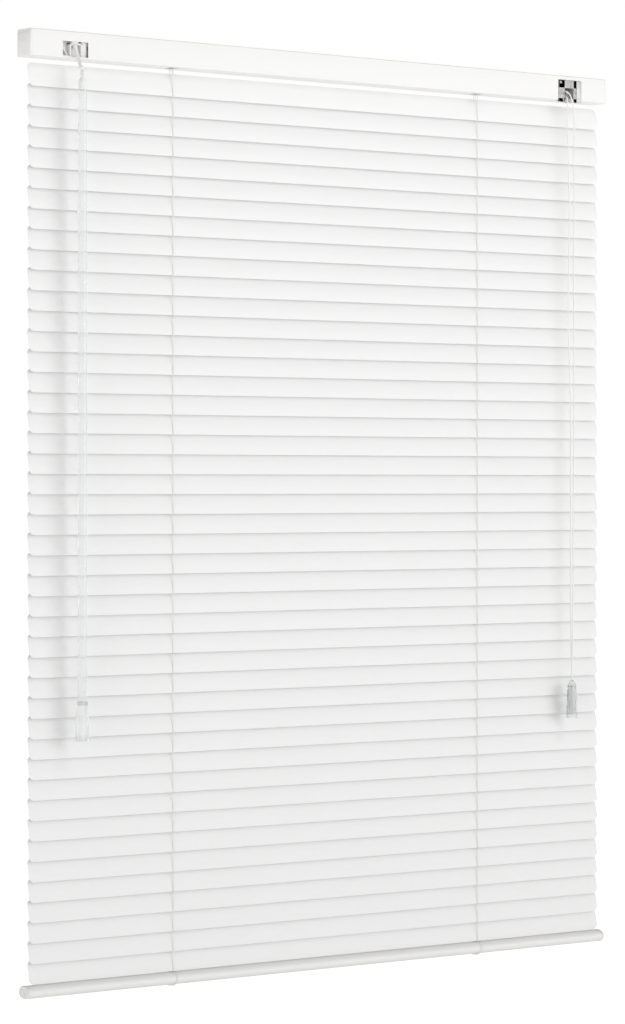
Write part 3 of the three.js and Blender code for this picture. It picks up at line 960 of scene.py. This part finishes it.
def tilter():
    """The housing: its block, a raised frame round the worm's barrel, and ribs in its side bays."""
    low, high = box_mm("tilter_housing")
    face, middle = low.y, STEM_EXIT.x
    left, right = middle - 6.6, middle + 8.7
    shape = bmesh.new()
    blocks(shape, [
        (low.x, high.x, face + 4.2, high.y, low.z, low.z + 4),
        (low.x, low.x + 4, face + 4.4, high.y, low.z, high.z),
        (high.x - 7, high.x, face + 1.6, high.y, low.z, high.z),
    ], 0.4)
    blocks(shape, [(low.x, high.x, face + 5.5, face + 7, low.z + 2, high.z - 1)], 0.2)
    blocks(shape, [
        (left, left + 1.5, face, face + 8, WINDOW_FOOT - 0.6, WINDOW_HEAD - 1.4),
        (right - 1.5, right, face, face + 8, WINDOW_FOOT - 0.6, WINDOW_HEAD - 1.4),
        (left, right, face, face + 8, WINDOW_HEAD - 3.2, WINDOW_HEAD - 1.5),
        (left, right, face + 0.6, face + 8, WINDOW_FOOT - 0.8, WINDOW_FOOT + 1.0),
    ], 0.25)
    for rib in range(RIBS):
        x, z = middle - 15.2 + RIB_ACROSS * rib, WINDOW_FOOT + 9.0 - RIB_DROP * rib
        blocks(shape, [(x, x + 1.6, face + 2.2, face + 6, z, z + 2.6)], 0.2, 1)
    foot = WINDOW_FOOT
    blocks(shape, [(middle - 15.6, middle - 6, face + 1.4, face + 6, foot - 0.5, foot + 1.4)], 0.25)
    rings = [
        circle(along_stem(reach), STEM_WAY, radius, 28)
        for reach, radius in ((-17, 4.1), (-4.6, 4.1), (-3.9, 3.8), (-3.9, 2.6), (-17, 2.6))
    ]
    loft(shape, rings)
    return piece("tilter_block", shape, WHITE_PLASTIC, "head_rail", ["tilter_housing"])


def worm_and_stem():
    """The worm, its stem that leaves the rail, and the flat eye at its end."""
    shape = bmesh.new()
    rings = [circle(along_stem(WORM_START - 0.2), STEM_WAY, 1.3, 24)]
    for step in range(WORM_STEPS + 1):
        reach = WORM_START + (WORM_END - WORM_START) * step / WORM_STEPS
        turn = 2 * math.pi * reach / WORM_PITCH
        rings.append(circle(along_stem(reach), STEM_WAY, 1.95, 24, 0.5, 1, turn))
    rings += [
        circle(along_stem(reach), STEM_WAY, radius, 24)
        for reach, radius in (
            (-4.6, 2.1), (0, 2.1), (0.8, 1.8), (STEM_REACH - 9, 1.7), (STEM_REACH - 8, 2.4),
            (STEM_REACH - 5.5, 2.4), (STEM_REACH - 4.5, 1.6), (STEM_REACH - 3, 1.3),
        )
    ]
    loft(shape, rings)
    ring_bar(shape, along_stem(STEM_REACH - 0.6), (1, 0, 0), 2.5, 0.85, 24, 10)
    return piece("worm_and_stem", shape, WHITE_PLASTIC, "tilter_worm", ["tilter_worm"])


def hex_rod(radius, soft, x0, x1, shape):
    """Adds a six-sided bar along X about the rod's axis, its corners just softened."""
    outline = []
    for corner in range(6):
        for step in (-1, 1):
            angle = math.pi / 3 * corner + step * soft
            outline.append((ROD.y + radius * math.cos(angle), ROD.z + radius * math.sin(angle)))
    bar_along_x(shape, outline, [x0, x0 + 0.3, x1 - 0.3, x1])


def wheel(shape, x0, x1, profile, sides=40, teeth=0, tooth=0.0):
    """Adds a wheel about the rod's axis; the profile lists (share of its width, radius)."""
    rings = []
    for share, radius in profile:
        x = x0 + (x1 - x0) * share
        rings.append(circle((x, ROD.y, ROD.z), (1, 0, 0), radius, sides, tooth, teeth))
    loft(shape, rings)


def rod_and_wheels():
    """The tilt rod, the two ladder drums and the worm's gear on it, and the strings round the drums."""
    low, high = box_mm("tilt_rod")
    rod = bmesh.new()
    hex_rod(2.7, math.radians(5), low.x, high.x, rod)
    piece("tilt_rod_bar", rod, ROD_STEEL, "tilt_rod", ["tilt_rod"], 25)
    wheels = bmesh.new()
    for x in (-LADDER_X, LADDER_X):
        wheel(wheels, x - 6.5, x + 6.5, [
            (0, 3.6), (0.01, 6.0), (0.03, 6.2), (0.12, 6.2), (0.15, 5.3), (0.85, 5.3), (0.88, 6.2),
            (0.97, 6.2), (0.99, 6.0), (1, 3.6),
        ])
    wheel(wheels, STEM_EXIT.x - 3.5, STEM_EXIT.x + 3.5,
          [(0, 3.4), (0.01, 5.7), (0.06, 6.1), (0.94, 6.1), (0.99, 5.7), (1, 3.4)], 120, 20, 0.5)
    piece("drums_and_gear", wheels, WHITE_PLASTIC, "tilt_rod", crease=45)
    wraps = bmesh.new()
    for x in (-LADDER_X, LADDER_X):
        for shift in (-1.6, 1.6):
            ring_bar(wraps, (x + shift, ROD.y, ROD.z), (1, 0, 0), 5.75, 0.42, 36, 8)
    piece("drum_wraps", wraps, STRING_BRAID, "tilt_rod", crease=60)


def cradle_outline():
    """A cradle's wall as (y, z) points, with a round seat in its top."""
    shoulder, edge = ROD.z + 4.5, ROD.z + 2.5
    angles = [math.pi + math.pi * step / 12 for step in range(13)]
    seat = [(ROD.y + SEAT * math.cos(angle), ROD.z + SEAT * math.sin(angle)) for angle in angles]
    front = [(FRONT + 1.6, RAIL_BED), (FRONT + 1.6, edge), (FRONT + 3.4, shoulder)]
    return [*front, *seat, (-3.4, shoulder), (-1.6, edge), (-1.6, RAIL_BED)]


def cradles():
    """The seats that the drums turn in, and the strings' runs from the drums to the floor's holes."""
    seats = bmesh.new()
    runs = []
    for x in (-LADDER_X, LADDER_X):
        for near, far in ((x - 9.4, x - 7.2), (x + 7.2, x + 9.4)):
            bar_along_x(seats, cradle_outline(), [near, far])
        blocks(seats, [
            (x - 9.4, x + 9.4, y0, y1, RAIL_BED, RAIL_FLOOR + 3.2)
            for y0, y1 in ((FRONT + 1.6, MID - 7.4), (MID + 7.4, -1.6))
        ])
        for y, shift in ((FRONT_STRING.y, -1.6), (BACK_STRING.y, 1.6)):
            top = MID + (5.9 if y > MID else -5.9)
            runs.append(straight((x, y, RAIL_FLOOR + STRING_TURN_IN), (x + shift, top, ROD.z), 8))
    piece("drum_cradles", seats, WHITE_PLASTIC, "head_rail")
    string_piece("drum_strings", runs, "head_rail")


def wand_rod(shape, top, foot):
    """Adds the six-sided rod, its corners cut a little and its ends chamfered."""
    corners = [math.radians(60 * corner + cut) for corner in range(6) for cut in (24, 36)]
    loft(shape, [
        [(HOOK.x + radius * math.cos(angle), HOOK.y + radius * math.sin(angle), z) for angle in corners]
        for z, radius in ((top, 4.2), (top - 0.3, 4.5), (foot + 0.4, 4.5), (foot, 4.1))
    ])


def wand():
    """The sleeve with its wire hook, the six-sided rod and the flared, fluted grip."""
    low, high = box_mm("tilt_wand")
    x, y, top, foot = HOOK.x, HOOK.y, high.z, low.z
    grip_top = foot + GRIP_LENGTH
    sleeve, wire, rod, grip = (bmesh.new() for _ in range(4))
    turned(sleeve, [
        (1.2, top), (2.0, top - 0.4), (2.4, top - 2), (4.0, top - 4.6), (4.2, top - 5.4),
        (4.2, top - 12.8), (4.45, top - 13.1), (4.45, top - 14), (4.0, top - 14.4),
    ], (x, y))
    hook = [
        (x, y, top - 1), (x, y - 0.4, top + 1.2), (x, y - 1.9, HOOK.z - 1.2),
        (x, y - 1.6, HOOK.z + 0.9), (x, y + 0.2, HOOK.z + 1.5), (x, y + 1.4, HOOK.z + 0.2),
    ]
    tube(wire, smooth_route(hook, 6), 0.6, 10)
    wand_rod(rod, top - 13.6, grip_top - 3.4)
    profile = [(4.6, grip_top + 0.3), (5.3, grip_top)]
    profile += [(5.5 + 1.35 * step / 10, grip_top - 1.2 - 36.8 * step / 10) for step in range(11)]
    profile += [(7.2, foot + 2.2), (7.3, foot + 1.2), (6.9, foot + 0.2), (6.0, foot)]
    turned(grip, profile, (x, y), 96, 0.34, 12)
    for name, shape, material, nodes, crease in (
        ("wand_sleeve", sleeve, WHITE_PLASTIC, ["tilt_wand"], 38),
        ("wand_hook", wire, WHITE_PLASTIC, [], 60),
        ("wand_rod", rod, CLEAR_PLASTIC, [], 20),
        ("wand_grip", grip, CLEAR_PLASTIC, [], 50),
    ):
        piece(name, shape, material, "tilt_wand", nodes, crease)


tilter()
worm_and_stem()
rod_and_wheels()
cradles()
wand()


# ---- cord lock ----


LOCK_FACE, PLATE_BACK = LOCK_LOW.y, LOCK_LOW.y + 1.9
PLATE_RIGHT = LOCK_HIGH.x - 7.5
LOCK_BACK, BODY_TOP = -4, RAIL_TOP - 5
ROLLER_Y, ROLLER_Z = -16.6, -5.2
TEETH = 5


def lock_plate():
    """The pressed plate round the mouth, the lands raised on it, and the lower cord's eyelet."""
    low, high, face, back = LOCK_LOW, LOCK_HIGH, LOCK_FACE, PLATE_BACK
    shape = bmesh.new()
    blocks(shape, [
        (low.x, MOUTH_LEFT, face, back, low.z, high.z),
        (MOUTH_RIGHT, PLATE_RIGHT, face, back, low.z, high.z),
        (low.x, PLATE_RIGHT, face, back, MOUTH_HEAD, high.z),
        (low.x, PLATE_RIGHT, face, back, low.z, MOUTH_FOOT),
    ], 0.35)
    blocks(shape, [(high.x - 8.2, high.x - 7.1, face - 0.35, back, low.z + 0.6, high.z - 0.6)], 0.25)
    blocks(shape, [
        (x0, x1, face - 0.3, back, z0, z1)
        for x0, x1, z0, z1 in (
            (low.x + 1.2, low.x + 4.4, high.z - 4.2, high.z - 1.2),
            (low.x + 1.2, low.x + 3.6, -9, -3.4),
            (MOUTH_RIGHT + 1, MOUTH_RIGHT + 3.4, -4.6, 0.6),
            (MOUTH_LEFT + 2, MOUTH_RIGHT - 2, high.z - 2.6, high.z - 0.9),
        )
    ], 0.22)
    ring_bar(shape, (LOWER_CORD[1][0] - 0.4, face - 0.1, -12.2), (0, 1, 0), 4.2, 0.8, 32, 10)
    piece("lock_plate", shape, LOCK_METAL, "head_rail", ["cord_lock"])


def lock_body():
    """The side panel, and the box inside the rail with an opening behind the mouth."""
    low, high, front = LOCK_LOW, LOCK_HIGH, PLATE_BACK - 0.3
    shape = bmesh.new()
    blocks(shape, [
        (high.x - 7.2, high.x, LOCK_FACE + 0.15, PLATE_BACK, low.z + 0.3, high.z - 0.2),
        (low.x + 3, MOUTH_LEFT, front, LOCK_BACK, RAIL_BED, BODY_TOP),
        (MOUTH_RIGHT, high.x - 3, front, LOCK_BACK, RAIL_BED, BODY_TOP),
        (MOUTH_LEFT - 1, MOUTH_RIGHT + 1, front, LOCK_BACK, RAIL_BED, MOUTH_FOOT - 0.6),
        (MOUTH_LEFT - 1, MOUTH_RIGHT + 1, -9.5, LOCK_BACK, RAIL_BED, BODY_TOP),
    ], 0.4)
    piece("lock_body", shape, PANEL_METAL, "head_rail")


def lock_roller():
    """The ribbed roller behind the mouth, and the pawl's teeth in front of it."""
    shape = bmesh.new()
    left, right = MOUTH_LEFT + 0.3, MOUTH_RIGHT - 0.3
    loft(shape, [
        circle((x, ROLLER_Y, ROLLER_Z), (1, 0, 0), radius, 60, 0.16, 20)
        for x, radius in ((left, 2.2), (left + 0.2, 2.6), (right - 0.2, 2.6), (right, 2.2))
    ])
    for tooth in range(TEETH):
        y, z = tooth - 21.4, tooth * 0.5 - 5.6
        blocks(shape, [(MOUTH_LEFT + 5.4, MOUTH_RIGHT - 3.6, y, y + 1.2, z, z + 2.2)], 0.2, 1)
    piece("lock_roller", shape, ROD_STEEL, "head_rail")


lock_plate()
lock_body()
lock_roller()


def rail_cords():
    """The lift cords' runs inside the rail, under the rod, from the ladders to the lock."""
    paths = []
    for x, level in ((-LADDER_X, -12.1), (LADDER_X, -10.3)):
        paths.append(smooth_route([
            (x + LIFT_CORD_SIDE, BACK_STRING.y, RAIL_FLOOR + STRING_TURN_IN),
            (x + LIFT_CORD_SIDE + 1.5, BACK_STRING.y - 0.2, level - 0.6),
            (x + LIFT_CORD_SIDE + 8, BACK_STRING.y - 0.6, level),
            (x + 60, -9.5, level), (300, -10.6, level), (322, -11.2, level),
        ], 8))
    string_piece("rail_cords", paths, "head_rail")


rail_cords()


# ---- bottom rail ----


def oval(shrink, sides=48):
    """The bottom rail's section as (y, z) points, smaller all round by shrink."""
    return [
        (
            MID - (BASE_HALF_DEPTH - shrink) * math.sin(2 * math.pi * k / sides),
            BASE_MID_Z + (BASE_HALF_HEIGHT - shrink) * math.cos(2 * math.pi * k / sides),
        )
        for k in range(sides)
    ]


BASE_CAP_AT = BLIND_END - 3


def base_tube():
    """The oval tube, with an opening under and over it at each ladder."""
    shape = bmesh.new()
    stations = [BASE_CAP_AT * (step / 12 - 1) for step in range(25)]
    rings = [[(x, y, z) for y, z in oval(0)] for x in stations]
    rings += [[(x, y, z) for y, z in oval(0.9)] for x in stations[::-1]]
    loft(shape, rings, closed=True)
    tool = bmesh.new()
    for x in (-LADDER_X, LADDER_X):
        blocks(tool, [(x - 3.6, x + 5.2, MID - 3, MID + 3, base_low.z - 2, base_high.z + 2)], 0.9, 3)
    mesh = carved(shape, tool)
    piece("base_tube", mesh, RAIL_ENAMEL, "bottom_rail", ["bottom_rail"])


def base_cap(side, name):
    """An end cap: a plug, a rim, a hollow face and three round bosses on it."""
    cap = bmesh.new()
    loft(cap, [
        [(side * (BASE_CAP_AT + out), y, z) for y, z in oval(shrink)]
        for out, shrink in (
            (-6, 1.2), (0.1, 1.2), (0.1, -0.15), (1.6, -0.15),
            (2.4, 0.25), (2.8, 1.0), (2.8, 1.9), (2.3, 2.2),
        )
    ])
    for across, up, radius in ((-3.6, 1.4, 1.9), (3.4, 1.0, 1.7), (0, -2.6, 1.7)):
        loft(cap, [
            circle((side * (BASE_CAP_AT + out), MID + across, BASE_MID_Z + up), (1, 0, 0), size, 20)
            for out, size in ((1.6, radius), (2.7, radius), (3.0, radius - 0.35))
        ])
    piece(f"base_cap_{name}", cap, WHITE_PLASTIC, "bottom_rail")


def base_buttons():
    """The two buttons that plug the tube's lower openings."""
    buttons = bmesh.new()
    profile = [(2.6, 3.4), (2.6, 0.6), (4.6, 0.3), (4.8, -0.4), (4.3, -1.1), (2.6, -1.35), (1.6, -1.1)]
    for x in (-LADDER_X, LADDER_X):
        turned(buttons, [(radius, base_low.z + up) for radius, up in profile], (x, MID), 32)
    piece("base_buttons", buttons, WHITE_PLASTIC, "bottom_rail")


base_tube()
base_cap(-1, "left")
base_cap(1, "right")
base_buttons()


# ---- stage and light ----

FLOOR_Z = -1.62
FLOOR_GLOW, FLOOR_NEAR_GLOW = 0.72, 0.1
FLOOR_NEAR, FLOOR_FAR = 1.6, 2.9
SKY_DIMS_AT, SKY_DIMS_OVER, SKY_DIMMING = 0.16, 0.12, 0.62
KEY_WATTS, TOP_WATTS, FILL_WATTS = 56.0, 9.0, 16.0


def stage_floor():
    """A pale floor well below the blind, a little brighter far away."""
    finish = Finish("floor_finish")
    cloud = finish.noise(0.4, 2.0)
    away = finish.node("ShaderNodeVectorMath", {"operation": "LENGTH"}, {0: finish.place}, output=1)
    far = ((away - FLOOR_NEAR) / (FLOOR_FAR - FLOOR_NEAR)).call("MAXIMUM", 0.0).call("MINIMUM", 1.0)
    finish.surface(
        Base_Color=finish.blend(cloud, grey(0.90), grey(0.92)), Roughness=0.9, Emission_Strength=1.0,
        Emission_Color=finish.blend(far, grey(FLOOR_NEAR_GLOW), grey(FLOOR_GLOW)),
    )
    shape = bmesh.new()
    bmesh.ops.create_grid(shape, x_segments=2, y_segments=2, size=30 / MM)
    bmesh.ops.translate(shape, vec=(0, 0, FLOOR_Z / MM), verts=shape.verts)
    bmesh.ops.scale(shape, vec=(MM, MM, MM), verts=shape.verts)
    mesh = bpy.data.meshes.new("floor")
    shape.to_mesh(mesh)
    shape.free()
    mesh.materials.append(finish.material)
    object_of("floor", mesh)


def soft_light(name, place, aim, size, size_y, watts):
    """A large soft panel that shines from place towards aim."""
    data = bpy.data.lights.new(name, "AREA")
    data.shape, data.size, data.size_y, data.energy = "RECTANGLE", size, size_y, watts
    light = object_of(name, data)
    light.location = place
    light.rotation_euler = (Vector(aim) - Vector(place)).to_track_quat("-Z", "Y").to_euler()
    light.visible_camera = False


def studio():
    """Even white all round at eye level, dimmer overhead, with a broad panel in front."""
    world = bpy.data.worlds.new("studio")
    world.use_nodes = True
    world.node_tree.nodes.clear()
    sky = Graph(world.node_tree)
    way = sky.node("ShaderNodeTexCoord", output="Generated")
    height = sky.node("ShaderNodeSeparateXYZ", None, {0: way}).part(2)
    overhead = ((height - SKY_DIMS_AT) / SKY_DIMS_OVER).call("MAXIMUM", 0.0).call("MINIMUM", 1.0)
    strength = 1.0 - overhead * SKY_DIMMING
    shade = sky.node("ShaderNodeBackground", None, {"Color": (1, 1, 1, 1), "Strength": strength})
    sky.node("ShaderNodeOutputWorld", None, {"Surface": shade})
    bpy.context.scene.world = world
    soft_light("key_panel", (2.3, -4.4, 0.45), (0, 0, -0.5), 3.4, 2.6, KEY_WATTS)
    soft_light("top_panel", (0.5, -1.8, 1.4), (0, 0, -0.4), 1.0, 0.8, TOP_WATTS)
    soft_light("fill_panel", (-3.6, -1.4, -0.5), (0, 0, -0.5), 1.6, 1.6, FILL_WATTS)
    bpy.context.scene.view_settings.view_transform = "Standard"


stage_floor()
studio()
